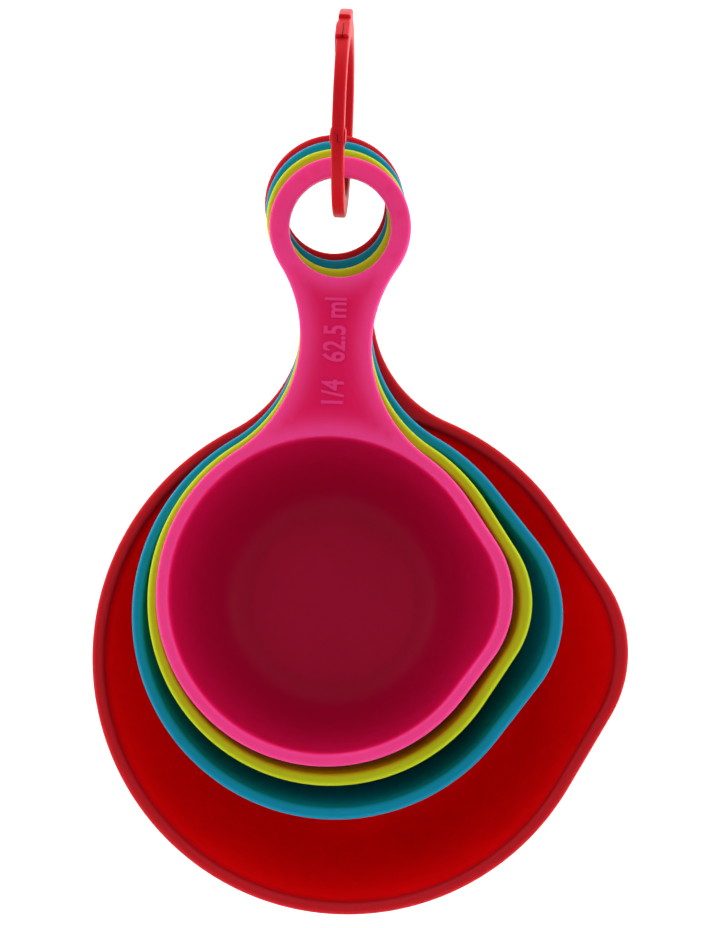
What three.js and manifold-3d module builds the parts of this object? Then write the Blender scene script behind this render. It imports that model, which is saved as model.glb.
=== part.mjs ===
// Nested set of four measuring cups that hangs from a snap ring.
// Millimetres, +Z up. The origin is the point inside the top of the ring where it hangs.
// Each cup opens towards -Y and pours towards +X. Its handle points up to the ring.

import * as THREE from 'three';
import { mergeVertices } from 'three/addons/utils/BufferGeometryUtils.js';
import Module from 'manifold-3d';

// ---------- driving dimensions, in mm and degrees ----------

const RIM_WIDTH = 2.4;            // width of every bowl's flat rim
const WALL = 1.8;                 // wall of every bowl below its rim
const BASE_RATIO = 0.54;          // inner base radius over inner rim radius
const DRAFT = 14;                 // lean of the wall just under the rim
const BELLY = 0.7;                // fullness of the upper wall, as a part of the depth
const HEEL = 0.5;                 // fullness of the turn into the base, as a part of the base's step in
const LIP_DEPTH = 0.75;           // part of the wall height over which the pour lip fades out

const HANDLE_THICKNESS = 3.0;     // of the handle, and of the rim band that it runs into
const HOLE_RADIUS = 10.0;
const HEAD_RADIUS = 14.0;
const WAIST_HALF_WIDTH = 7.1;
const ROOT = 1.5;                 // how far the handle's shoulders run into the rim
const STACK_PITCH = 3.4;          // from one handle's face to the next

// From the front cup to the back one. holeToRim runs from the hole's centre to the nearest
// point of the rim, slide is how much higher the hole sits than the front cup's, side is its
// offset along X, and sway is its turn about its own hole.
const CUPS = [
  { name: 'cup_quarter', millilitres: 62.5, rimRadius: 33.3, lipReach: 1.09, lipFlank: 35,
    holeToRim: 38.9, slide: 0, side: -0.4, sway: -1.3, colour: 0xe0205c },
  { name: 'cup_third', millilitres: 83.3, rimRadius: 36.0, lipReach: 1.092, lipFlank: 33,
    holeToRim: 39.3, slide: 2.1, side: -1.2, sway: -0.1, colour: 0xa8b216 },
  { name: 'cup_half', millilitres: 125, rimRadius: 40.1, lipReach: 1.114, lipFlank: 38,
    holeToRim: 39.9, slide: 4.3, side: -1.6, sway: 0.7, colour: 0x057d96 },
  { name: 'cup_full', millilitres: 250, rimRadius: 50.5, lipReach: 1.095, lipFlank: 32.5,
    holeToRim: 39.6, slide: 6.2, side: -2.1, sway: 2.4, colour: 0xb91620 },
];

const HANG_TILT = 16.7;            // the stack leans back at the top, so that its weight hangs plumb

const RING_INNER_RADIUS = 15.6;
const RING_WIDTH = 4.1;           // radial
const RING_THICKNESS = 2.4;       // along X
const RING_LEAN = 1.7;            // turn of the ring about Y, its top towards +X
const RING_GAP = 0.55;            // between the back cup's hole and the ring
const RED_REST_ANGLE = 53;        // where the back cup rests, from the ring's lowest point to the back

// Angles on the ring are counted from its lowest point, up its front (-Y) side.
const HINGE_ANGLE = 84;
const KNUCKLE_RADIUS = RING_WIDTH / 2;
const PIN_RADIUS = 0.8;
const PIN_HEAD_RADIUS = 1.65;
const PIN_HEAD_HEIGHT = 0.5;
const FREE_GAP = 0.3;             // between pieces that meet or turn on each other
const LAP_START = 146.5;          // the body's lap lies beside the gate's lap between these angles
const LAP_END = 158;
const CLASP_START = 165;
const CLASP_END = 192;
const CLASP_HEIGHT = 1.5;         // how far the clasp block stands out of the ring
const LAP_HEIGHT = 0.75;          // how far the laps stand out of the ring
const CLASP_BOSS = 0.3;           // how far the body's lap stands out sideways
const LAP_END_GAP = 1.2;          // degrees between the end of each lap and the shoulder it meets

const RING_COLOUR = 0xc51a2a;
const BOWL_SEGMENTS = 48;
const ARC_STEPS = 10;

// ---------- solids ----------

const wasm = await Module();
wasm.setup();

const radians = THREE.MathUtils.degToRad;

function toSolid(geometry) {
  const bare = geometry.clone();
  bare.deleteAttribute('normal');
  bare.deleteAttribute('uv');
  const merged = mergeVertices(bare, 1e-4);
  return new wasm.Manifold(new wasm.Mesh({
    numProp: 3,
    vertProperties: new Float32Array(merged.attributes.position.array),
    triVerts: new Uint32Array(merged.index.array),
  }));
}

function toGeometry(solid) {
  const mesh = solid.getMesh();
  const geometry = new THREE.BufferGeometry();
  geometry.setAttribute('position', new THREE.BufferAttribute(mesh.vertProperties, 3));
  geometry.setIndex(new THREE.BufferAttribute(mesh.triVerts, 1));
  geometry.computeVertexNormals();
  return geometry;
}

function plastic(name, geometry, colour) {
  const material = new THREE.MeshStandardMaterial({ color: colour, roughness: 0.3, metalness: 0 });
  const mesh = new THREE.Mesh(geometry, material);
  mesh.name = name;
  return mesh;
}

function bisect(low, high, isLow) {
  for (let i = 0; i < 60; i += 1) {
    const middle = (low + high) / 2;
    if (isLow(middle)) low = middle;
    else high = middle;
  }
  return (low + high) / 2;
}

// ---------- a cup ----------

// Points of a curve from one parameter to its end.
function sampled(curve, from, steps) {
  return Array.from({ length: steps + 1 }, (_, i) => curve.getPoint(from + ((1 - from) * i) / steps));
}

// Wall of a bowl from the rim (depth 0) to the edge of its flat base, as (radius, depth) points.
function wallCurve(rim, base, depth) {
  const belly = new THREE.Vector2(rim - depth * BELLY * Math.tan(radians(DRAFT)), depth * BELLY);
  const foot = new THREE.Vector2(base + (rim - base) * HEEL, depth);
  return new THREE.CubicBezierCurve(
    new THREE.Vector2(rim, 0), belly, foot, new THREE.Vector2(base, depth),
  );
}

function volumeOf(points) {
  let volume = 0;
  for (let i = 1; i < points.length; i += 1) {
    const [a, b] = [points[i - 1], points[i]];
    volume += (Math.PI / 3) * (b.y - a.y) * (a.x * a.x + a.x * b.x + b.x * b.x);
  }
  return volume;
}

// The inner depth that makes a bowl of this inner rim radius hold its capacity.
function depthFor(rim, millilitres) {
  const holds = (depth) => volumeOf(wallCurve(rim, rim * BASE_RATIO, depth).getPoints(40)) / 1000;
  return bisect(5, 120, (depth) => holds(depth) < millilitres);
}

// Polar radius of the rim over its round radius: a small tip arc with straight flanks
// that run tangent from it to the round rim.
function lipFactor(angle, cup) {
  const flank = radians(cup.lipFlank);
  const centre = (cup.lipReach - 1) / (1 - Math.cos(flank));
  const tip = cup.lipReach - centre;
  const arcEnd = Math.atan2(tip * Math.sin(flank), centre + tip * Math.cos(flank));
  const away = Math.abs(angle);
  if (away > flank) return 1;
  if (away > arcEnd) return 1 / Math.cos(flank - away);
  return centre * Math.cos(away) + Math.sqrt(tip ** 2 - (centre * Math.sin(away)) ** 2);
}

function bowlSurface(cup, profile, depth) {
  const geometry = new THREE.LatheGeometry(profile, BOWL_SEGMENTS);
  const place = geometry.attributes.position;
  for (let i = 0; i < place.count; i += 1) {
    const [x, y, z] = [place.getX(i), place.getY(i), place.getZ(i)];
    const fade = 1 - THREE.MathUtils.smoothstep(y, 0, depth * LIP_DEPTH);
    const push = 1 + (lipFactor(Math.atan2(z, x), cup) - 1) * fade;
    place.setXYZ(i, x * push, y, z * push);
  }
  return toSolid(geometry);
}

function bowlSolids(cup) {
  const innerRim = cup.rimRadius - RIM_WIDTH;
  const depth = depthFor(innerRim, cup.millilitres);
  const inner = wallCurve(innerRim, innerRim * BASE_RATIO, depth).getPoints(7);
  const outerDepth = depth + WALL;
  const wall = wallCurve(innerRim + WALL, innerRim * BASE_RATIO + WALL, outerDepth);
  const wallTop = bisect(0, 1, (t) => wall.getPoint(t).y < HANDLE_THICKNESS);
  const outer = [
    new THREE.Vector2(cup.rimRadius, 0),
    new THREE.Vector2(cup.rimRadius, HANDLE_THICKNESS),
    ...sampled(wall, wallTop, 7),
  ];
  const above = new THREE.Vector2(innerRim, -1);
  const axis = (y) => new THREE.Vector2(0, y);
  return {
    body: bowlSurface(cup, [axis(0), ...outer, axis(outerDepth)], outerDepth),
    cavity: bowlSurface(cup, [axis(-1), above, ...inner, axis(depth)], outerDepth),
  };
}

// Outline of the handle: a round head and a waist, each side one hollow arc that is
// tangent to the head above it and to the bowl's rim below it.
function handleOutline(cup) {
  const rim = cup.rimRadius;
  const length = cup.holeToRim + rim;
  const arcHeight = (r) => Math.sqrt(rim ** 2 - WAIST_HALF_WIDTH ** 2 + 2 * r * (rim - WAIST_HALF_WIDTH));
  const headDrop = (r) => Math.sqrt(
    HEAD_RADIUS ** 2 - WAIST_HALF_WIDTH ** 2 + 2 * r * (HEAD_RADIUS - WAIST_HALF_WIDTH),
  );
  const hollow = bisect(5, 80, (r) => length - headDrop(r) > arcHeight(r));
  const [x, y] = [WAIST_HALF_WIDTH + hollow, arcHeight(hollow)];
  const toHead = Math.atan2(length - y, -x);
  const toBowl = Math.atan2(-y, -x) + 2 * Math.PI;
  const shape = new THREE.Shape();
  shape.moveTo(0, rim - RIM_WIDTH);
  shape.lineTo(x + hollow * Math.cos(toBowl) - ROOT, y + hollow * Math.sin(toBowl) - ROOT);
  shape.absarc(x, y, hollow, toBowl, toHead, true);
  shape.absarc(0, length, HEAD_RADIUS, toHead - Math.PI, 2 * Math.PI - toHead, false);
  shape.absarc(-x, y, hollow, Math.PI - toHead, Math.PI - toBowl, true);
  shape.lineTo(-x - hollow * Math.cos(toBowl) + ROOT, y + hollow * Math.sin(toBowl) - ROOT);
  shape.closePath();
  const hole = new THREE.Path();
  hole.absarc(0, length, HOLE_RADIUS, 0, 2 * Math.PI, true);
  shape.holes.push(hole);
  return shape;
}

function handleSolid(cup) {
  const geometry = new THREE.ExtrudeGeometry(handleOutline(cup), {
    depth: HANDLE_THICKNESS, bevelEnabled: false, curveSegments: ARC_STEPS,
  });
  geometry.rotateX(Math.PI / 2);
  geometry.translate(0, HANDLE_THICKNESS, 0);
  return toSolid(geometry);
}

// A cup in its own frame: the rim's plane is y = 0, the bowl's axis is Y, the handle points to +Z.
function cupMesh(cup) {
  const { body, cavity } = bowlSolids(cup);
  const solid = body.add(handleSolid(cup)).subtract(cavity);
  return plastic(cup.name, toGeometry(solid), cup.colour);
}

// ---------- the ring ----------

// A point of the ring's plane, as shape coordinates: first towards the back (+Y), then up.
function ringPoint(angle, radius) {
  return new THREE.Vector2(-radius * Math.sin(radians(angle)), -radius * Math.cos(radians(angle)));
}

// A flat stretch of the ring, between two angles, two radii and two places along X.
function ringStretch(from, to, inner, outer, left, right) {
  const steps = Math.max(2, Math.ceil((to - from) / 9));
  const angles = Array.from({ length: steps + 1 }, (_, i) => from + ((to - from) * i) / steps);
  const points = [
    ...angles.map((a) => ringPoint(a, outer)),
    ...angles.reverse().map((a) => ringPoint(a, inner)),
  ];
  return plate(new THREE.Shape(points), left, right);
}

// A shape of the ring's plane made solid between two places along X.
function plate(shape, left, right) {
  const geometry = new THREE.ExtrudeGeometry(shape, {
    depth: right - left, bevelEnabled: false, curveSegments: ARC_STEPS,
  });
  geometry.rotateX(Math.PI / 2);
  geometry.rotateZ(Math.PI / 2);
  geometry.translate(left, 0, 0);
  return toSolid(geometry);
}

function discAtHinge(radius, left, right) {
  const shape = new THREE.Shape();
  const centre = ringPoint(HINGE_ANGLE, RING_INNER_RADIUS + RING_WIDTH / 2);
  shape.absarc(centre.x, centre.y, radius, 0, 2 * Math.PI, false);
  return plate(shape, left, right);
}

const SIDE = RING_THICKNESS / 2;
const OUTER = RING_INNER_RADIUS + RING_WIDTH;
const LAP_GAP = FREE_GAP / 2;

function ringBody() {
  const full = ringStretch(LAP_END - 360, HINGE_ANGLE, RING_INNER_RADIUS, OUTER, -SIDE, SIDE);
  const knuckleRoom = discAtHinge(KNUCKLE_RADIUS + FREE_GAP, -SIDE - 1, SIDE + 1);
  const leaf = discAtHinge(KNUCKLE_RADIUS, -SIDE, -LAP_GAP)
    .add(ringStretch(HINGE_ANGLE - 14, HINGE_ANGLE, RING_INNER_RADIUS, OUTER, -SIDE, -LAP_GAP));
  const clasp = ringStretch(CLASP_START, CLASP_END, OUTER - 1, OUTER + CLASP_HEIGHT, -SIDE, SIDE);
  const neck = ringStretch(LAP_END, CLASP_START + 1, OUTER - 1, OUTER + LAP_HEIGHT, -SIDE, SIDE);
  const lap = ringStretch(
    LAP_START, LAP_END + 2, RING_INNER_RADIUS, OUTER + LAP_HEIGHT, -SIDE - CLASP_BOSS, -LAP_GAP,
  );
  const bore = discAtHinge(PIN_RADIUS + FREE_GAP, -SIDE - 1, SIDE + 1);
  return full.subtract(knuckleRoom).add(leaf).add(clasp).add(neck).add(lap).subtract(bore);
}

function ringGate() {
  const full = ringStretch(HINGE_ANGLE, LAP_START - LAP_END_GAP, RING_INNER_RADIUS, OUTER, -SIDE, SIDE);
  const knuckleRoom = discAtHinge(KNUCKLE_RADIUS + FREE_GAP, -SIDE - 1, SIDE + 1);
  const leaf = discAtHinge(KNUCKLE_RADIUS, LAP_GAP, SIDE)
    .add(ringStretch(HINGE_ANGLE, HINGE_ANGLE + 14, RING_INNER_RADIUS, OUTER, LAP_GAP, SIDE));
  const lap = ringStretch(LAP_START - 4, LAP_END - LAP_END_GAP, RING_INNER_RADIUS, OUTER, LAP_GAP, SIDE)
    .add(ringStretch(LAP_START, LAP_END - LAP_END_GAP, OUTER - 1, OUTER + LAP_HEIGHT, LAP_GAP, SIDE));
  const bore = discAtHinge(PIN_RADIUS + FREE_GAP, -SIDE - 1, SIDE + 1);
  return full.subtract(knuckleRoom).add(leaf).add(lap).subtract(bore);
}

function ringHingePin() {
  const reach = SIDE + FREE_GAP + PIN_HEAD_HEIGHT;
  const shank = discAtHinge(PIN_RADIUS, -reach, reach);
  const leftHead = discAtHinge(PIN_HEAD_RADIUS, -reach, -SIDE - FREE_GAP);
  const rightHead = discAtHinge(PIN_HEAD_RADIUS, SIDE + FREE_GAP, reach);
  return shank.add(leftHead).add(rightHead);
}

// ---------- the set ----------

const part = new THREE.Group();

const ring = new THREE.Group();
ring.position.set(0, 0, -RING_INNER_RADIUS);
ring.rotation.y = radians(RING_LEAN);
ring.add(
  plastic('ring_body', toGeometry(ringBody()), RING_COLOUR),
  plastic('ring_gate', toGeometry(ringGate()), RING_COLOUR),
  plastic('ring_hinge_pin', toGeometry(ringHingePin()), RING_COLOUR),
);
part.add(ring);

// The stack turns about the ring's centre, so its frame starts there. The back cup's hole
// rests with its rear top edge on the ring.
const stack = new THREE.Group();
stack.position.copy(ring.position);
stack.rotation.x = -radians(HANG_TILT);
part.add(stack);

const back = CUPS[CUPS.length - 1];
const restAngle = radians(RED_REST_ANGLE + HANG_TILT);
const restRadius = RING_INNER_RADIUS - RING_GAP;
const frontHoleHeight = -restRadius * Math.cos(restAngle) - HOLE_RADIUS - back.slide;
const frontFace = restRadius * Math.sin(restAngle) - HANDLE_THICKNESS - STACK_PITCH * (CUPS.length - 1);

CUPS.forEach((cup, index) => {
  const hung = new THREE.Group();
  hung.position.set(cup.side, frontFace + STACK_PITCH * index, frontHoleHeight + cup.slide);
  hung.rotation.y = -radians(cup.sway);
  const mesh = cupMesh(cup);
  mesh.position.z = -cup.holeToRim - cup.rimRadius;
  hung.add(mesh);
  stack.add(hung);
});

export default part;
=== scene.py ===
"""A nested set of four measuring cups that hangs from a snap ring."""
import math

import bmesh
import bpy
from mathutils import Matrix, Vector
from mathutils.kdtree import KDTree
from mathutils.geometry import delaunay_2d_cdt


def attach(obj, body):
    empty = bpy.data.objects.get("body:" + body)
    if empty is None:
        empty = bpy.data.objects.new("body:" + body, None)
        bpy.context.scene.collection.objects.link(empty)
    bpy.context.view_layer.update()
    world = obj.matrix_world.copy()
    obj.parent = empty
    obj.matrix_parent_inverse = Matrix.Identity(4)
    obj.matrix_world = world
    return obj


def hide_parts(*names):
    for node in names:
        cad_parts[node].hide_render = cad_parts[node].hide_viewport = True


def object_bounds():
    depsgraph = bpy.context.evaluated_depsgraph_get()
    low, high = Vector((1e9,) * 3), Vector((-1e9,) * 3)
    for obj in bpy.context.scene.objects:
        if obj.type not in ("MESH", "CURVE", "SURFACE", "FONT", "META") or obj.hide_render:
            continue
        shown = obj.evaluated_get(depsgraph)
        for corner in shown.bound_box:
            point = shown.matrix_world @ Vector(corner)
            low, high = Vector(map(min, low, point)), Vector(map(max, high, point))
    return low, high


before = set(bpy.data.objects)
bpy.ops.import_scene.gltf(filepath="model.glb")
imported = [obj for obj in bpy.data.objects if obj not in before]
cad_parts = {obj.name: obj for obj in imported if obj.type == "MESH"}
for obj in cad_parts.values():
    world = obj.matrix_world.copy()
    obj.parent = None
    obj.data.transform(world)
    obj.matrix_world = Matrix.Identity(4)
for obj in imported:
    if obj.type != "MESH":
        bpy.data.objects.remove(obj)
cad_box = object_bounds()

# ---------- dimensions, in mm and degrees, as in the CAD source ----------

MM = 0.001

RIM_WIDTH = 2.4
WALL = 1.8
BASE_RATIO = 0.54
DRAFT = 14
BELLY = 0.7
HEEL = 0.5
LIP_DEPTH = 0.75
HANDLE_THICKNESS = 3.0
HOLE_RADIUS = 10.0
HEAD_RADIUS = 14.0
WAIST_HALF_WIDTH = 7.1
STACK_PITCH = 3.4
HANG_TILT = 16.7

RING_INNER_RADIUS = 15.6
RING_WIDTH = 4.1
RING_THICKNESS = 2.4
RING_LEAN = 1.7
RING_GAP = 0.55
REST_ANGLE = 53
HINGE_ANGLE = 84
KNUCKLE_RADIUS = RING_WIDTH / 2
PIN_RADIUS = 0.8
PIN_HEAD_RADIUS = 1.65
LAP_START = 146.5
LAP_END = 158
CLASP_START = 165
CLASP_END = 192
CLASP_HEIGHT = 1.5
LAP_HEIGHT = 0.75
CLASP_BOSS = 0.3

# Finer shape that only the visible surface has.
EDGE = 0.75            # rounding of the front edges
BACK_EDGE = 0.4        # rounding of the rear edges and of the wall's root under the rim
SKIN = 0.08            # how far the visible surface keeps inside the outline of the CAD's solids
SUPPORT = 0.08         # a narrow flat strip that keeps flat faces flat beside a rounded edge
WALL_ROUNDING = 1.6    # where the wall's own curve takes over from the rounded rim, in edge roundings
BASE_RISE = 0.12       # how far the inside of the base stands up in its middle
BASE_EASE = 0.8        # width of each of the three steps over which it rises
FOOT_WIDTH = 2.4       # the ring that the cup stands on
FOOT_HEIGHT = 0.5
FOOT_EASE = 0.25       # width of each of the three steps inside the foot
EASE = (1, 2, 3)
GATE_MARK_RADIUS = 1.3
GATE_MARK_REACH = 0.3  # the flat that is kept round it
GATE_MARK_DRAFT = 0.15
GATE_MARK_RISE = (0.5, 0.55)  # of the foot's height, at its edge and over its middle
MARK_RELIEF = 0.12     # the capacity stands out of the handle by this
MARK_BEVEL = 0.03
MARK_BOLD = 0.1
MARK_SIZE = 6.0
MARK_SQUEEZE = 0.72    # width over height, against the font's own
MARK_HEIGHTS = (-33.0, -20.4)  # middles of the fraction and the millilitres, from the hole's centre
MARK_SHADE = 0.75      # its place on the scale of COLOURS
SHARP = math.radians(50)
RIM_STEPS = 200
CURVE_STEPS = 34
HOLE_STEPS = 96
CORNER_STEPS = 5
PAINTED_GLOW_REACH = 2.6       # how far from an edge the painted glow reaches: the plastic is painted paler there, standing in for light that gets through it and catches its rounded edges
WALL_PAINTED_GLOW_REACH = 0.9  # the same painted glow, down the inside of a bowl
BASE_PAINTED_SHADE_AND_LIGHT = 0.05      # the place of a bowl's base on the scale of COLOURS, near the bowl's painted inside colour
FILL_PITCH = 1.6       # between the points that carry the painted glow and shade across a handle
FILL_CLEARANCE = 0.6   # what such a point keeps to the edges, in pitches
SEAM = 0.12            # the parting between the ring's pieces
PIN_HEAD_HEIGHT = 0.35
PIN_HEAD_LIFT = 0.04   # how far the pin's heads stand off the ring's sides

# From the front cup to the back one. to_rim runs from the hole's centre to the nearest point of the
# rim, slide is how much higher the hole sits than the front cup's, side is its offset along X, and
# sway is its turn about its own hole. reach and flank shape the pour lip.
CUPS = [
    {"name": "cup_quarter", "body": "quarter_cup", "slot": "plastic_pink", "marks": ("1/4", "62.5 ml"),
     "millilitres": 62.5, "rim": 33.3, "reach": 1.09, "flank": 35, "to_rim": 38.9,
     "slide": 0, "side": -0.4, "sway": -1.3},
    {"name": "cup_third", "body": "third_cup", "slot": "plastic_lime", "marks": ("1/3", "83 ml"),
     "millilitres": 83.3, "rim": 36.0, "reach": 1.092, "flank": 33, "to_rim": 39.3,
     "slide": 2.1, "side": -1.2, "sway": -0.1},
    {"name": "cup_half", "body": "half_cup", "slot": "plastic_teal", "marks": ("1/2", "125 ml"),
     "millilitres": 125, "rim": 40.1, "reach": 1.114, "flank": 38, "to_rim": 39.9,
     "slide": 4.3, "side": -1.6, "sway": 0.7},
    {"name": "cup_full", "body": "full_cup", "slot": "plastic_red", "marks": ("1", "250 ml"),
     "millilitres": 250, "rim": 50.5, "reach": 1.095, "flank": 32.5, "to_rim": 39.6,
     "slide": 6.2, "side": -2.1, "sway": 2.4},
]

# Base colours in linear RGB: inside a bowl, on plain faces, and at edges, where a painted paler glow and
# highlight stand in for light that gets through and catches the rounded edges. Every point carries a number
# on this scale, from the inside through plain to the edge, that says where it is between those three.
# The inside colour is painted shade in the pink cup and painted light in the teal and red ones; the lime's
# is its plain colour.
COLOURS = {
    "plastic_pink": ((0.54, 0.002, 0.055), (0.84, 0.005, 0.110), (0.96, 0.060, 0.300)),
    "plastic_lime": ((0.42, 0.460, 0.004), (0.42, 0.460, 0.004), (0.50, 0.590, 0.008)),
    "plastic_teal": ((0.001, 0.240, 0.450), (0.001, 0.205, 0.315), (0.002, 0.280, 0.440)),
    "plastic_red": ((0.75, 0.001, 0.003), (0.42, 0.002, 0.005), (0.46, 0.009, 0.017)),
    "plastic_ring": ((0.62, 0.006, 0.014), (0.62, 0.006, 0.014), (0.70, 0.018, 0.034)),
}
BOWL_PAINTED_SHADE_AND_LIGHT, PLAIN, PAINTED_EDGE_GLOW = 0.0, 0.35, 1.0

# How far light gets into the plastic, in mm, and how much of it does.
GLOW = {
    "plastic_pink": (2.5, 0.5),
    "plastic_lime": (3.0, 0.6),
    "plastic_teal": (3.0, 0.6),
    "plastic_red": (9.0, 1.0),
    "plastic_ring": (2.5, 0.5),
}
NO_GLOW = (0, 0)
SATIN = 0.42           # roughness of the mouldings
MARK_SATIN = 0.36      # and of the raised marks
PLASTIC_IOR = 1.49
PLASTIC_SPECULAR = 0.12
EDGE_DULLING = 0.06    # how much rougher the plastic is at its edges

# ---------- camera ----------

VIEW_ELEVATION = 11.8
VIEW_TURN = 2.65
VIEW_DISTANCE = 645
VIEW_TARGET = (4.25, -20.0, -80.85)
VIEW_HEIGHT = 180.1
SENSOR = 36.0


def add_camera():
    data = bpy.data.cameras.new("camera")
    camera = bpy.data.objects.new("camera", data)
    bpy.context.scene.collection.objects.link(camera)
    tilt, turn = math.radians(VIEW_ELEVATION), math.radians(VIEW_TURN)
    ahead = math.cos(tilt)
    forward = Vector((-math.sin(turn) * ahead, math.cos(turn) * ahead, -math.sin(tilt)))
    camera.location = (Vector(VIEW_TARGET) - forward * VIEW_DISTANCE) * MM
    camera.rotation_euler = forward.to_track_quat("-Z", "Y").to_euler()
    data.sensor_width = SENSOR
    data.lens = SENSOR * VIEW_DISTANCE / VIEW_HEIGHT
    data.clip_start = 0.01
    data.clip_end = 20
    bpy.context.scene.camera = camera


add_camera()

# ---------- materials ----------


def add_node(tree, kind, place, **values):
    """Adds a node and sets its inputs, whose names are given with _ for each space."""
    node = tree.nodes.new(kind)
    node.location = place
    for name, value in values.items():
        node.inputs[name.replace("_", " ")].default_value = value
    return node


def moulded_plastic(slot, name, roughness, glow):
    """Satin injection-moulded plastic: faint clouding, a painted paler glow and highlight at the edges,
    painted shade inside the pink bowl and painted light inside the teal and red ones, a fine orange-peel
    skin, and edges that handling has dulled a little."""
    material = bpy.data.materials.new(name)
    material.use_nodes = True
    tree = material.node_tree
    shader = tree.nodes["Principled BSDF"]
    shader.inputs["IOR"].default_value = PLASTIC_IOR
    shader.inputs["Specular IOR Level"].default_value = PLASTIC_SPECULAR
    shader.inputs["Subsurface Scale"].default_value = glow[0] * MM
    shader.inputs["Subsurface Weight"].default_value = glow[1]
    shader.inputs["Subsurface Radius"].default_value = tuple(0.1 + 0.9 * c for c in COLOURS[slot][-1])
    place = add_node(tree, "ShaderNodeTexCoord", (-1400, 0))
    # The attribute places each point on a scale of painted light: the painted inside colour of a bowl,
    # plain, and a painted paler glow at edges.
    painted_light = add_node(tree, "ShaderNodeAttribute", (-1100, 600))
    painted_light.attribute_name = "painted_light"

    cloud = add_node(tree, "ShaderNodeTexNoise", (-1100, 300), Scale=38.0, Detail=3.0, Roughness=0.55)
    painted_light_ramp = add_node(tree, "ShaderNodeValToRGB", (-800, 600))
    painted_light_ramp.color_ramp.elements.new(PLAIN)
    for element, position, colour in zip(painted_light_ramp.color_ramp.elements, (BOWL_PAINTED_SHADE_AND_LIGHT, PLAIN, PAINTED_EDGE_GLOW), COLOURS[slot]):
        element.position = position
        element.color = (*colour, 1)
    tint = add_node(tree, "ShaderNodeMapRange", (-800, 300),
                    From_Min=0.3, From_Max=0.7, To_Min=0.95, To_Max=1.04)
    blend = add_node(tree, "ShaderNodeVectorMath", (-500, 400))
    blend.operation = "MULTIPLY"

    scuff = add_node(tree, "ShaderNodeTexNoise", (-1100, 0), Scale=420.0, Detail=4.0, Roughness=0.6)
    shine = add_node(tree, "ShaderNodeMapRange", (-800, 0),
                     From_Min=0.35, From_Max=0.7, To_Min=roughness - 0.03, To_Max=roughness + 0.05)
    dull = add_node(tree, "ShaderNodeMath", (-500, 0))
    dull.operation = "MULTIPLY_ADD"
    dull.inputs[1].default_value = EDGE_DULLING

    peel = add_node(tree, "ShaderNodeTexNoise", (-1100, -300), Scale=900.0, Detail=2.0, Roughness=0.5)
    wave = add_node(tree, "ShaderNodeTexNoise", (-1100, -550), Scale=55.0, Detail=1.0, Roughness=0.4)
    fine = add_node(tree, "ShaderNodeBump", (-500, -300), Strength=0.06, Distance=0.0001)
    broad = add_node(tree, "ShaderNodeBump", (-250, -300), Strength=0.10, Distance=0.0006)

    for source, output, target, entry in [
        (place, "Object", cloud, "Vector"), (cloud, "Fac", tint, "Value"), (painted_light, "Fac", painted_light_ramp, "Fac"),
        (painted_light_ramp, "Color", blend, 0), (tint, "Result", blend, 1), (blend, "Vector", shader, "Base Color"),
        (place, "Object", scuff, "Vector"), (scuff, "Fac", shine, "Value"),
        (painted_light, "Fac", dull, 0), (shine, "Result", dull, 2), (dull, "Value", shader, "Roughness"),
        (place, "Object", peel, "Vector"), (peel, "Fac", fine, "Height"),
        (place, "Object", wave, "Vector"), (wave, "Fac", broad, "Height"),
        (fine, "Normal", broad, "Normal"), (broad, "Normal", shader, "Normal"),
    ]:
        tree.links.new(source.outputs[output], target.inputs[entry])
    return material


MATERIALS = {slot: moulded_plastic(slot, slot, SATIN, GLOW[slot]) for slot in COLOURS}
RELIEF = {
    slot: moulded_plastic(slot, slot + "_relief", MARK_SATIN, NO_GLOW)
    for slot in (cup["slot"] for cup in CUPS)
}


def finish_piece(name, mesh, body, slot, transform, nodes=(), look=MATERIALS):
    """Makes an object of a mesh in mm, puts it in place and ties it to its body."""
    mesh.transform(Matrix.Scale(MM, 4) @ transform)
    mesh.materials.append(look[slot])
    piece = bpy.data.objects.new(name, mesh)
    bpy.context.scene.collection.objects.link(piece)
    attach(piece, body)
    if nodes:
        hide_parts(*nodes)
    return piece


# ---------- the shape of a cup ----------


HALVINGS = 60
DEPTH_RANGE = (5, 120)
HOLLOW_RANGE = (5, 80)
VOLUME_SLICES = 40
MM3_PER_MILLILITRE = 1000


def bisect(low, high, is_low):
    """The place between low and high where is_low turns from true to false."""
    for _ in range(HALVINGS):
        middle = (low + high) / 2
        low, high = (middle, high) if is_low(middle) else (low, middle)
    return (low + high) / 2


def wall_point(rim, base, depth, t):
    """A point of the bowl's wall, as (radius, depth), for t from 0 at the rim to 1 at the base."""
    lean = math.tan(math.radians(DRAFT))
    belly = (rim - depth * BELLY * lean, depth * BELLY)
    heel = (base + (rim - base) * HEEL, depth)
    corners = [(rim, 0), belly, heel, (base, depth)]
    weights = [(1 - t) ** 3, 3 * t * (1 - t) ** 2, 3 * t * t * (1 - t), t ** 3]
    return tuple(sum(w * c[i] for w, c in zip(weights, corners)) for i in (0, 1))


def depth_for(rim, millilitres):
    """The inner depth at which a bowl with this inner rim radius holds its capacity."""
    def volume(depth):
        steps = range(VOLUME_SLICES + 1)
        points = [wall_point(rim, rim * BASE_RATIO, depth, i / VOLUME_SLICES) for i in steps]
        total = sum(
            (b[1] - a[1]) * (a[0] ** 2 + a[0] * b[0] + b[0] ** 2) for a, b in zip(points, points[1:])
        )
        return math.pi / 3 * total / MM3_PER_MILLILITRE
    return bisect(*DEPTH_RANGE, lambda depth: volume(depth) < millilitres)


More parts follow.
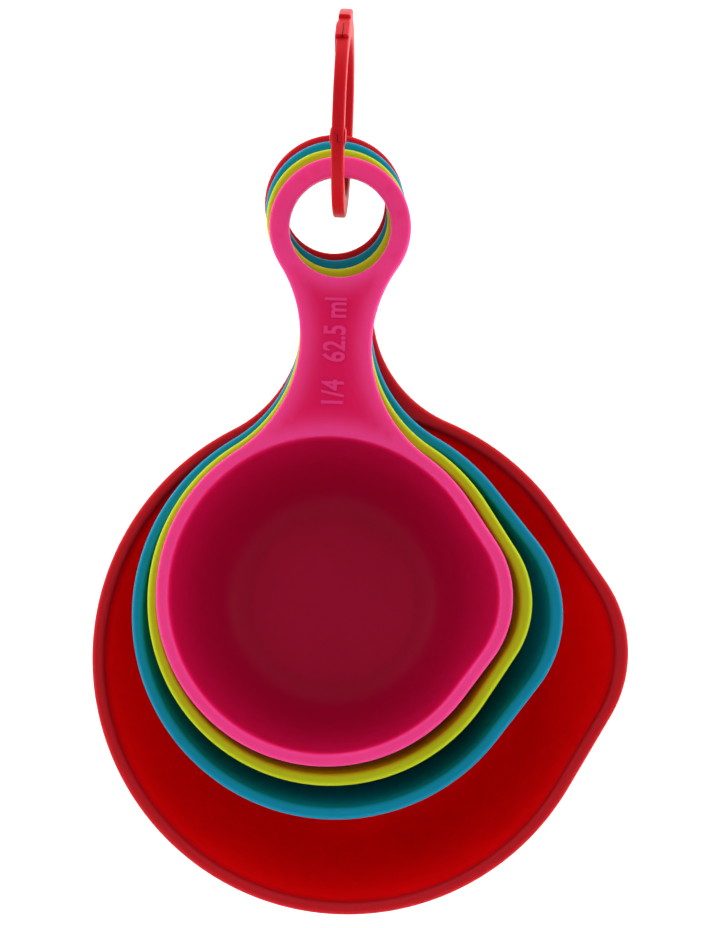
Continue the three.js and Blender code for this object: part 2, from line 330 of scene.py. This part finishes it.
def lip_factor(angle, cup):
    """How far the rim reaches out at this angle from the lip's middle, over its round radius."""
    flank = math.radians(cup["flank"])
    centre = (cup["reach"] - 1) / (1 - math.cos(flank))
    tip = cup["reach"] - centre
    arc_end = math.atan2(tip * math.sin(flank), centre + tip * math.cos(flank))
    away = abs(math.remainder(angle, 2 * math.pi))
    if away > flank:
        return 1.0
    if away > arc_end:
        return 1 / math.cos(flank - away)
    return centre * math.cos(away) + math.sqrt(tip ** 2 - (centre * math.sin(away)) ** 2)


def smoothstep(value):
    value = min(1, max(0, value))
    return value * value * (3 - 2 * value)


def bowl_loop(cup, radius, depth, fade_depth):
    """One round of the bowl at this radius and depth, with the pour lip pushed out of it."""
    fade = 1 - smoothstep(depth / (fade_depth * LIP_DEPTH))
    loop = []
    for i in range(RIM_STEPS):
        angle = 2 * math.pi * i / RIM_STEPS
        reach = radius * (1 + (lip_factor(angle, cup) - 1) * fade)
        loop.append((reach * math.cos(angle), depth, reach * math.sin(angle)))
    return loop


def arc(centre, radius, start, end, steps):
    """Points on an arc, the last one left out, because the next stretch begins there."""
    return [
        (centre[0] + radius * math.cos(start + (end - start) * i / steps),
         centre[1] + radius * math.sin(start + (end - start) * i / steps))
        for i in range(steps)
    ]


def cup_outline(cup):
    """The closed outline of rim, lip and handle, anticlockwise, with the way out at each point."""
    rim = cup["rim"]
    length = cup["to_rim"] + rim

    def rise(circle, hollow):
        """How far apart the centres are of a circle of the outline and of a hollow beside the waist."""
        return math.sqrt(circle ** 2 - WAIST_HALF_WIDTH ** 2 + 2 * hollow * (circle - WAIST_HALF_WIDTH))

    hollow = bisect(*HOLLOW_RANGE, lambda r: length - rise(HEAD_RADIUS, r) > rise(rim, r))
    x, z = WAIST_HALF_WIDTH + hollow, rise(rim, hollow)
    shoulder = math.atan2(z, x)
    to_bowl = math.atan2(-z, -x) + 2 * math.pi
    to_head = math.atan2(length - z, -x)
    points = []
    turn = math.pi + 2 * shoulder
    for i in range(RIM_STEPS):
        angle = math.pi - shoulder + turn * i / RIM_STEPS
        reach = rim * lip_factor(angle, cup)
        points.append((reach * math.cos(angle), reach * math.sin(angle)))
    points += arc((x, z), hollow, to_bowl, to_head, CURVE_STEPS)
    points += arc((0, length), HEAD_RADIUS, to_head - math.pi, 2 * math.pi - to_head, 3 * CURVE_STEPS)
    points += arc((-x, z), hollow, math.pi - to_head, math.pi - to_bowl, CURVE_STEPS)
    ways = []
    for i, _ in enumerate(points):
        a, b = points[i - 1], points[(i + 1) % len(points)]
        along = Vector((b[0] - a[0], b[1] - a[1])).normalized()
        ways.append((along.y, -along.x))
    return points, ways


def corner(edge):
    """A quarter round as (in from the side, in from the face), from the face to the side."""
    turns = [math.pi / 2 * i / CORNER_STEPS for i in range(CORNER_STEPS + 1)]
    return [(edge * (1 - math.sin(a)), edge * (1 - math.cos(a))) for a in turns]


def add_loop(mesh, points):
    return [mesh.verts.new(p) for p in points]


def bridge(mesh, loops):
    """Joins each loop of vertices to the next one."""
    for one, other in zip(loops, loops[1:]):
        count = len(one)
        for i in range(count):
            j = (i + 1) % count
            mesh.faces.new((one[i], one[j], other[j], other[i]))


def cap(mesh, loop, centre):
    """Closes a loop with a fan round a new vertex, which it returns."""
    middle = mesh.verts.new(centre)
    for i, _ in enumerate(loop):
        mesh.faces.new((loop[i], loop[(i + 1) % len(loop)], middle))
    return middle


TRIANGLES_INSIDE = 1    # the kind of result: triangles inside the outer loop
TRIANGLES_CLOSE = 1e-7  # points closer than this count as one


def fill_flat(mesh, outline, holes):
    """Fills the flat region between an outline and the holes in it, all of them loops of vertices.
    Points on a grid carry the painted glow and shade across a wide region, where it is far enough from its
    edges."""
    loops = [outline, *holes]
    corners = [v for loop in loops for v in loop]
    edges, start = [], 0
    for loop in loops:
        ring = list(range(start, start + len(loop)))
        edges += list(zip(ring, ring[1:] + ring[:1]))
        start += len(loop)
    polygons = [[(v.co.x, v.co.z) for v in loop] for loop in loops]

    def in_region(point):
        return in_polygon(point, polygons[0]) and not any(in_polygon(point, p) for p in polygons[1:])

    near = tree_of(corners)
    low_x, high_x = min(p[0] for p in polygons[0]), max(p[0] for p in polygons[0])
    low_z, high_z = min(p[1] for p in polygons[0]), max(p[1] for p in polygons[0])
    for i in range(int((high_x - low_x) / FILL_PITCH)):
        for k in range(int((high_z - low_z) / FILL_PITCH)):
            x, z = low_x + FILL_PITCH * (i + 0.5 * (k % 2)), low_z + FILL_PITCH * k
            place = (x, corners[0].co.y, z)
            if near.find(place)[2] > FILL_CLEARANCE * FILL_PITCH and in_region((x, z)):
                corners.append(mesh.verts.new(place))
    flat = [Vector((v.co.x, v.co.z)) for v in corners]
    _, _, faces, origins, _, _ = delaunay_2d_cdt(flat, edges, [], TRIANGLES_INSIDE, TRIANGLES_CLOSE)
    for face in faces:
        picked = [corners[origins[i][0]] for i in face]
        middle = (sum(v.co.x for v in picked) / 3, sum(v.co.z for v in picked) / 3)
        if in_region(middle):
            mesh.faces.new(picked)


def tree_of(vertices):
    tree = KDTree(len(vertices))
    for i, vertex in enumerate(vertices):
        tree.insert(vertex.co, i)
    tree.balance()
    return tree


def in_polygon(point, polygon):
    x, y = point
    result = False
    for (ax, ay), (bx, by) in zip(polygon, polygon[1:] + polygon[:1]):
        if (ay > y) != (by > y) and x < (bx - ax) * (y - ay) / (by - ay) + ax:
            result = not result
    return result


def cup_mesh(cup):
    """A cup in its own frame, with its rim's centre at the origin: it opens towards -Y and its handle
    points up."""
    mesh = bmesh.new()
    inner_rim = cup["rim"] - RIM_WIDTH
    depth = depth_for(inner_rim, cup["millilitres"])
    outer_depth = depth + WALL - SKIN
    base = inner_rim * BASE_RATIO
    back = HANDLE_THICKNESS
    lean = math.radians(DRAFT)

    # The edge all round the rim and the handle.
    points, ways = cup_outline(cup)
    front_edge = [(EDGE + SUPPORT, 0)] + corner(EDGE)
    rear_edge = [(i, back - d) for i, d in reversed(corner(BACK_EDGE))] + [(BACK_EDGE + SUPPORT, back)]
    side = []
    for inset, y in front_edge + rear_edge:
        back_in = inset + SKIN
        loop = [(p[0] - w[0] * back_in, y, p[1] - w[1] * back_in) for p, w in zip(points, ways)]
        side.append(add_loop(mesh, loop))
    bridge(mesh, side)

    # The hole.
    hole_centre = (0, cup["to_rim"] + cup["rim"])
    hole = []
    for inset, y in front_edge + rear_edge:
        circle = arc(hole_centre, HOLE_RADIUS + inset, 0, 2 * math.pi, HOLE_STEPS)
        hole.append(add_loop(mesh, [(x, y, z) for x, z in circle]))
    bridge(mesh, hole)

    # The inside: over the rim's inner edge, down the wall and across the base.
    turns = [math.pi / 2 - (math.pi / 2 - lean) * i / CORNER_STEPS for i in range(CORNER_STEPS + 1)]
    inside_profile = [(inner_rim + EDGE + SUPPORT, 0)]
    inside_profile += [(inner_rim + EDGE - EDGE * math.cos(a), EDGE - EDGE * math.sin(a)) for a in turns]
    wall_start = bisect(0, 1, lambda t: wall_point(inner_rim, base, depth, t)[1] < WALL_ROUNDING * EDGE)
    inside_profile += [
        wall_point(inner_rim, base, depth, wall_start + (1 - wall_start) * i / CURVE_STEPS)
        for i in range(CURVE_STEPS + 1)
    ]
    inside_profile += [(base - BASE_EASE * i, depth - BASE_RISE * smoothstep(i / 3)) for i in EASE]
    inside_profile += [(base * share, depth - BASE_RISE) for share in (0.75, 0.5, 0.25)]
    inner = [add_loop(mesh, bowl_loop(cup, r, y, outer_depth)) for r, y in inside_profile]
    bridge(mesh, inner)
    inner_middle = cap(mesh, inner[-1], (0, depth - BASE_RISE, 0))

    # The outside: from the root under the rim, down the wall, over the foot to the recessed base.
    out_rim, out_base = inner_rim + WALL - SKIN, base + WALL - SKIN
    root = bisect(0, 1, lambda t: wall_point(out_rim, out_base, outer_depth, t)[1] < back + BACK_EDGE)
    root_radius = wall_point(out_rim, out_base, outer_depth, root)[0]
    outside_profile = [(root_radius + BACK_EDGE + SUPPORT, back)]
    outside_profile += [(root_radius + out, back + d) for out, d in corner(BACK_EDGE)[:-1]]
    outside_profile += [
        wall_point(out_rim, out_base, outer_depth, root + (1 - root) * i / CURVE_STEPS)
        for i in range(CURVE_STEPS + 1)
    ]
    foot = out_base - FOOT_WIDTH
    recess = outer_depth - FOOT_HEIGHT
    gate_edge, gate_top = (recess + FOOT_HEIGHT * rise for rise in GATE_MARK_RISE)
    outside_profile += [(foot + SUPPORT, outer_depth), (foot, outer_depth)]
    outside_profile += [(foot - FOOT_EASE * i, outer_depth - FOOT_HEIGHT * smoothstep(i / 3)) for i in EASE]
    outside_profile += [(foot * share, recess) for share in (0.8, 0.5, 0.25)]
    outside_profile += [(GATE_MARK_RADIUS + GATE_MARK_REACH, recess), (GATE_MARK_RADIUS, recess)]
    outside_profile += [(GATE_MARK_RADIUS - GATE_MARK_DRAFT, gate_edge), (GATE_MARK_RADIUS / 2, gate_top)]
    outer = [add_loop(mesh, bowl_loop(cup, r, y, outer_depth)) for r, y in outside_profile]
    bridge(mesh, outer)
    cap(mesh, outer[-1], (0, gate_top, 0))

    fill_flat(mesh, side[0], [hole[0], inner[0]])
    fill_flat(mesh, side[-1], [hole[-1], outer[0]])
    rounding = len(front_edge) // 2
    edge_loops = [side[rounding], side[-1], hole[rounding], hole[-1], inner[2]]
    edge = tree_of([v for loop in edge_loops for v in loop])

    outside = tree_of([v for loop in outer for v in loop])
    hollow = tree_of([v for loop in inner for v in loop] + [inner_middle])

    # Painted light for each point: a painted glow that fades away from the edges of rim, hole and handle;
    # plain on the outside of the bowl; the painted inside colour on the base; inside the bowl, the painted
    # inside colour turning into the painted glow towards the rim.
    def painted_light_at(place):
        radius = math.hypot(place.x, place.z)
        if radius > inner_rim * lip_factor(math.atan2(place.z, place.x), cup) + SUPPORT:
            return PLAIN + (PAINTED_EDGE_GLOW - PLAIN) * math.exp(-(edge.find(place)[2] / PAINTED_GLOW_REACH) ** 2)
        if outside.find(place)[2] < hollow.find(place)[2]:
            return PLAIN
        if radius < base:
            return BASE_PAINTED_SHADE_AND_LIGHT
        return BOWL_PAINTED_SHADE_AND_LIGHT + (PAINTED_EDGE_GLOW - BOWL_PAINTED_SHADE_AND_LIGHT) * math.exp(-(place.y / WALL_PAINTED_GLOW_REACH) ** 2)

    return finished_mesh(cup["name"], mesh, painted_light_at)


def finished_mesh(name, mesh, painted_light_at):
    """Closes the work on a mesh, and notes at each of its points its place on the scale of painted light,
    from the painted inside of a bowl through plain to the painted glow at edges.
    """
    bmesh.ops.recalc_face_normals(mesh, faces=mesh.faces)
    data = bpy.data.meshes.new(name)
    mesh.to_mesh(data)
    mesh.free()
    data.shade_smooth()
    data.set_sharp_from_angle(angle=SHARP)
    note_painted_light(data, painted_light_at)
    return data


# Stores each point's place on the scale of painted light and shade, for the materials to read.
def note_painted_light(data, painted_light_at):
    painted_light = data.attributes.new("painted_light", "FLOAT", "POINT")
    for vertex, entry in zip(data.vertices, painted_light.data):
        entry.value = painted_light_at(vertex.co)


# ---------- the stack ----------

ring_centre = Matrix.Translation((0, 0, -RING_INNER_RADIUS))
rest_angle = math.radians(REST_ANGLE + HANG_TILT)
rest_radius = RING_INNER_RADIUS - RING_GAP
front_hole_height = -rest_radius * math.cos(rest_angle) - HOLE_RADIUS - CUPS[-1]["slide"]
front_face = rest_radius * math.sin(rest_angle) - HANDLE_THICKNESS - STACK_PITCH * (len(CUPS) - 1)


def cup_place(cup, index):
    """From the cup's own frame, with its hole at the origin, to the hanging stack."""
    height = front_hole_height + cup["slide"]
    return (
        ring_centre
        @ Matrix.Rotation(-math.radians(HANG_TILT), 4, "X")
        @ Matrix.Translation((cup["side"], front_face + STACK_PITCH * index, height))
        @ Matrix.Rotation(-math.radians(cup["sway"]), 4, "Y")
    )


def raised_mark(text, height):
    """A raised capacity figure that reads up the handle, as a mesh in the frame of the cup's hole."""
    curve = bpy.data.curves.new("mark", "FONT")
    curve.body = text
    curve.size = MARK_SIZE
    curve.resolution_u = 5
    curve.extrude = MARK_RELIEF
    curve.bevel_depth = MARK_BEVEL
    curve.bevel_resolution = 1
    curve.offset = MARK_BOLD
    curve.align_x = "CENTER"
    curve.align_y = "CENTER"
    holder = bpy.data.objects.new("mark", curve)
    mesh = bpy.data.meshes.new_from_object(holder)
    bpy.data.objects.remove(holder)
    bpy.data.curves.remove(curve)
    mesh.materials.clear()
    upright = Matrix.Rotation(math.pi / 2, 4, "X")
    reading_up = Matrix.Rotation(-math.pi / 2, 4, "Y")
    narrow = Matrix.Diagonal((MARK_SQUEEZE, 1, 1, 1))
    mesh.transform(Matrix.Translation((0, MARK_BEVEL, height)) @ reading_up @ upright @ narrow)
    mesh.shade_smooth()
    mesh.set_sharp_from_angle(angle=SHARP)
    note_painted_light(mesh, lambda place: MARK_SHADE)
    return mesh


for index, cup in enumerate(CUPS):
    place = cup_place(cup, index)
    to_bowl = Matrix.Translation((0, 0, -cup["to_rim"] - cup["rim"]))
    name = cup["name"]
    finish_piece(name + "_moulding", cup_mesh(cup), cup["body"], cup["slot"], place @ to_bowl, [name])
    for number, (text, height) in enumerate(zip(cup["marks"], MARK_HEIGHTS)):
        mark = raised_mark(text, height)
        finish_piece(f"{name}_mark_{number}", mark, cup["body"], cup["slot"], place, look=RELIEF)

# ---------- the ring ----------

RING_EDGE = 0.4        # rounding of the ring's edges
RING_PITCH = 3         # degrees from one section of the bar to the next
LAP_MIDDLE = 152       # an angle within the laps
MIDDLE = RING_INNER_RADIUS + RING_WIDTH / 2
SIDE = RING_THICKNESS / 2
OUTER = RING_INNER_RADIUS + RING_WIDTH
STEP = 0.3             # degrees over which a shoulder of the clasp rises
CLASP_LEAD = 0.5       # degrees before the clasp where the bar is as narrow as elsewhere again
CLASP_FALL = 2         # degrees over which the clasp block falls to the ring
LAP_OVERRUN = 2        # degrees that a lap's cutter reaches past the end of the bar
HINGE_OVERRUN = 1      # degrees that a bar runs on past its round end, before it is cut
BEYOND = 3.0           # how far a cutter reaches past the ring on every side
SEAM_TURN = math.degrees(SEAM / MIDDLE)
KNUCKLE_TURN = math.degrees(KNUCKLE_RADIUS / MIDDLE)
SECTION_STEPS = 3      # in each rounded corner of the bar's section
KNUCKLE_STEPS = 24     # in the half round of a hinge end
SECTOR_STEPS = 4
DOME_STEPS = 8
PIN_STEPS = 32
HEAD_SIDE = 0.96       # radius of the head's rear edge, as a part of the head's
HEAD_CROWN = 0.65      # the part of the head's height that is its dome


def ring_point(angle, radius):
    """A point of the ring's plane, as (y, z), at this angle from its lowest point up the front."""
    turn = math.radians(angle)
    return Vector((-radius * math.sin(turn), -radius * math.cos(turn)))


def section(angle, low, high, left, right):
    """A rounded oblong across the ring."""
    points = []
    for x, r, start in ((right, high, 0), (left, high, 1), (left, low, 2), (right, low, 3)):
        cx = x - RING_EDGE if x == right else x + RING_EDGE
        cr = r - RING_EDGE if r == high else r + RING_EDGE
        for i in range(SECTION_STEPS + 1):
            a = math.pi / 2 * (start + i / SECTION_STEPS)
            y, z = ring_point(angle, cr + RING_EDGE * math.sin(a))
            points.append((cx + RING_EDGE * math.cos(a), y, z))
    return points


def bar(stations):
    """A closed bar through its sections: (angle, inner radius, outer radius, left, right)."""
    mesh = bmesh.new()
    loops = [add_loop(mesh, section(*station)) for station in stations]
    bridge(mesh, loops)
    for loop in (loops[0], loops[-1]):
        mesh.faces.new(loop)
    return mesh


def stretch(start, end, high=OUTER):
    """Stations of an even stretch of the ring between two angles."""
    steps = max(2, round(abs(end - start) / RING_PITCH))
    angles = [start + (end - start) * i / steps for i in range(steps + 1)]
    return [(angle, RING_INNER_RADIUS, high, -SIDE, SIDE) for angle in angles]


def plate(outline, left, right):
    """An outline of the ring's plane made solid between two places along X."""
    mesh = bmesh.new()
    loops = [add_loop(mesh, [(x, y, z) for y, z in outline]) for x in (left, right)]
    bridge(mesh, loops)
    for loop in loops:
        mesh.faces.new(loop)
    return mesh


def hinge_end(way, radius, side):
    """What is cut away past the hinge. A positive side leaves a round end of this radius, and a
    negative one cuts a round hollow of this radius instead."""
    centre = ring_point(HINGE_ANGLE, MIDDLE)
    out = ring_point(HINGE_ANGLE, 1)
    along = Vector((out.y, -out.x)) * way
    far = KNUCKLE_RADIUS + BEYOND
    corners = [(0, far), (far, far), (far, -far), (0, -far)]
    turns = [math.pi * (i / KNUCKLE_STEPS - 0.5) for i in range(KNUCKLE_STEPS + 1)]
    corners += [(side * radius * math.cos(t), radius * math.sin(t)) for t in turns]
    return [centre + along * a + out * b for a, b in corners]


def sector(start, end):
    """The outline of a cutter that takes the whole width of the ring between two angles."""
    angles = [start + (end - start) * i / SECTOR_STEPS for i in range(SECTOR_STEPS + 1)]
    outer = [ring_point(a, OUTER + BEYOND) for a in angles]
    return outer + [ring_point(a, RING_INNER_RADIUS - BEYOND) for a in reversed(angles)]


def scratch_object(mesh):
    bmesh.ops.recalc_face_normals(mesh, faces=mesh.faces)
    data = bpy.data.meshes.new("scratch")
    mesh.to_mesh(data)
    mesh.free()
    item = bpy.data.objects.new("scratch", data)
    bpy.context.scene.collection.objects.link(item)
    return item


def carved(name, stock, cutters):
    """A bar with cutters taken out of it."""
    item = scratch_object(stock)
    tools = [scratch_object(cutter) for cutter in cutters]
    for tool in tools:
        cut = item.modifiers.new("cut", "BOOLEAN")
        cut.operation = "DIFFERENCE"
        cut.solver = "EXACT"
        cut.object = tool
    bpy.context.view_layer.update()
    result = bmesh.new()
    result.from_object(item, bpy.context.evaluated_depsgraph_get())
    for used in (item, *tools):
        bpy.data.objects.remove(used)
    bmesh.ops.remove_doubles(result, verts=result.verts, dist=1e-4)
    return finished_mesh(name, result, lambda place: PLAIN)


def ring_body_mesh():
    """The ring's fixed part: its lap, its clasp block and the long way round to the hinge."""
    low = RING_INNER_RADIUS
    lap_left = -SIDE - CLASP_BOSS
    stations = [(a - 360, low, OUTER + LAP_HEIGHT, lap_left, SIDE) for a in (LAP_START, LAP_MIDDLE, LAP_END)]
    neck = (CLASP_START - CLASP_LEAD, CLASP_START)
    stations += [(a - 360, low, OUTER + LAP_HEIGHT, -SIDE, SIDE) for a in neck]
    stations += stretch(CLASP_START + STEP - 360, CLASP_END - 360, OUTER + CLASP_HEIGHT - SKIN)
    stations += stretch(CLASP_END + CLASP_FALL - 360, HINGE_ANGLE + KNUCKLE_TURN + HINGE_OVERRUN)
    return carved("ring_body", bar(stations), [
        plate(hinge_end(1, KNUCKLE_RADIUS, 1), -BEYOND, -SEAM / 2),
        plate(hinge_end(1, KNUCKLE_RADIUS + SEAM, -1), -SEAM / 2, BEYOND),
        plate(sector(LAP_START - LAP_OVERRUN, LAP_END), -SEAM / 2, BEYOND),
    ])


def ring_gate_mesh():
    """The part that opens, from the hinge to its lap beside the fixed one."""
    stations = stretch(HINGE_ANGLE - KNUCKLE_TURN - HINGE_OVERRUN, LAP_START - STEP)
    stations += [(a, RING_INNER_RADIUS, OUTER + LAP_HEIGHT, -SIDE, SIDE)
                 for a in (LAP_START, LAP_MIDDLE, LAP_END - SEAM_TURN)]
    return carved("ring_gate", bar(stations), [
        plate(hinge_end(-1, KNUCKLE_RADIUS, 1), SEAM / 2, BEYOND),
        plate(hinge_end(-1, KNUCKLE_RADIUS + SEAM, -1), -BEYOND, SEAM / 2),
        plate(sector(LAP_START - SEAM_TURN, LAP_END + LAP_OVERRUN), -BEYOND, SEAM / 2),
    ])


def pin_mesh():
    """The hinge pin along X, with a low dome at each end."""
    mesh = bmesh.new()
    rear = SIDE + PIN_HEAD_LIFT
    dome = arc((0, 0), 1, 0, math.pi / 2, DOME_STEPS)
    foot = rear + PIN_HEAD_HEIGHT * (1 - HEAD_CROWN)
    head = [(PIN_HEAD_RADIUS * r, foot + PIN_HEAD_HEIGHT * HEAD_CROWN * h) for r, h in dome]
    right = [(PIN_RADIUS, rear), (PIN_HEAD_RADIUS * HEAD_SIDE, rear)] + head
    profile = [(r, -x) for r, x in reversed(right)] + right
    centre = ring_point(HINGE_ANGLE, MIDDLE)
    circles = [(x, arc(centre, r, 0, 2 * math.pi, PIN_STEPS)) for r, x in profile]
    loops = [add_loop(mesh, [(x, y, z) for y, z in circle]) for x, circle in circles]
    bridge(mesh, loops)
    cap(mesh, loops[0], (-rear - PIN_HEAD_HEIGHT, *centre))
    cap(mesh, loops[-1], (rear + PIN_HEAD_HEIGHT, *centre))
    return finished_mesh("ring_hinge_pin", mesh, lambda place: PLAIN)


ring_place = ring_centre @ Matrix.Rotation(math.radians(RING_LEAN), 4, "Y")
for node, mesh, body in (
    ("ring_body", ring_body_mesh(), "ring"),
    ("ring_gate", ring_gate_mesh(), "gate"),
    ("ring_hinge_pin", pin_mesh(), "ring"),
):
    finish_piece(node + "_moulding", mesh, body, "plastic_ring", ring_place, [node])

# ---------- surroundings ----------

FLOOR_DROP = 60        # the floor lies this far under the set, in mm
FLOOR_SIZE = 30        # in metres, as is where it begins in front
FLOOR_FRONT = -0.15
FLOOR_WHITE = 0.9
FLOOR_GLOW = 0.3       # it is a lit table
FLOOR_ROUGHNESS = 0.8


def add_floor():
    """A white floor that runs far back from under the set."""
    place = (0, FLOOR_SIZE / 2 + FLOOR_FRONT, cad_box[0][2] - FLOOR_DROP * MM)
    bpy.ops.mesh.primitive_plane_add(size=FLOOR_SIZE, location=place)
    floor = bpy.context.object
    floor.name = "floor"
    material = bpy.data.materials.new("floor_white")
    material.use_nodes = True
    shader = material.node_tree.nodes["Principled BSDF"]
    shader.inputs["Base Color"].default_value = (FLOOR_WHITE, FLOOR_WHITE, FLOOR_WHITE, 1)
    shader.inputs["Roughness"].default_value = FLOOR_ROUGHNESS
    shader.inputs["Emission Color"].default_value = (1, 1, 1, 1)
    shader.inputs["Emission Strength"].default_value = FLOOR_GLOW
    floor.data.materials.append(material)


# How bright the studio is, by how far towards the back (+Y) one looks.
STUDIO_LIGHT = [(-0.35, 0.5), (-0.05, 1.5), (0.5, 2.0)]
STUDIO_TOP = 4.0       # what a full 1.0 of the ramp between them stands for

# Soft lights on both sides, in metres and watts, aimed at the middle of the set.
SIDE_LIGHTS = {"left": (-0.9, -0.25, 0.1), "right": (0.9, -0.25, 0.1)}
SIDE_LIGHT_POWER = 2
SIDE_LIGHT_SIZE = 0.7
LIGHT_TARGET = (0, 0, -0.09)


def add_world():
    """A white studio. It is bright beside, behind and above the set, dim in front of it, and plain
    white to look at."""
    world = bpy.data.worlds.new("studio")
    world.use_nodes = True
    bpy.context.scene.world = world
    tree = world.node_tree
    background = tree.nodes["Background"]
    place = tree.nodes.new("ShaderNodeTexCoord")
    split = tree.nodes.new("ShaderNodeSeparateXYZ")
    turn = tree.nodes.new("ShaderNodeMapRange")
    turn.inputs["From Min"].default_value = -1
    spread = tree.nodes.new("ShaderNodeValToRGB")
    spread.color_ramp.elements.new(0.5)
    for element, (way, light) in zip(spread.color_ramp.elements, STUDIO_LIGHT):
        element.position = (way + 1) / 2
        element.color = (*(3 * [light / STUDIO_TOP]), 1)
    level = tree.nodes.new("ShaderNodeMath")
    level.operation = "MULTIPLY"
    level.inputs[1].default_value = STUDIO_TOP
    seen = tree.nodes.new("ShaderNodeLightPath")
    strength = tree.nodes.new("ShaderNodeMath")
    strength.operation = "MAXIMUM"
    tree.links.new(place.outputs["Generated"], split.inputs["Vector"])
    tree.links.new(split.outputs["Y"], turn.inputs["Value"])
    tree.links.new(turn.outputs["Result"], spread.inputs["Fac"])
    tree.links.new(spread.outputs["Color"], level.inputs[0])
    tree.links.new(level.outputs["Value"], strength.inputs[0])
    tree.links.new(seen.outputs["Is Camera Ray"], strength.inputs[1])
    tree.links.new(strength.outputs["Value"], background.inputs["Strength"])
    background.inputs["Color"].default_value = (1, 1, 1, 1)


def add_light(name, location):
    light = bpy.data.lights.new(name, "AREA")
    light.energy = SIDE_LIGHT_POWER
    light.size = SIDE_LIGHT_SIZE
    lamp = bpy.data.objects.new(name, light)
    lamp.location = location
    aim = Vector(LIGHT_TARGET) - Vector(location)
    lamp.rotation_euler = aim.to_track_quat("-Z", "Y").to_euler()
    bpy.context.scene.collection.objects.link(lamp)


add_floor()
add_world()
for name, location in SIDE_LIGHTS.items():
    add_light(name, location)
bpy.context.scene.view_settings.view_transform = "Standard"
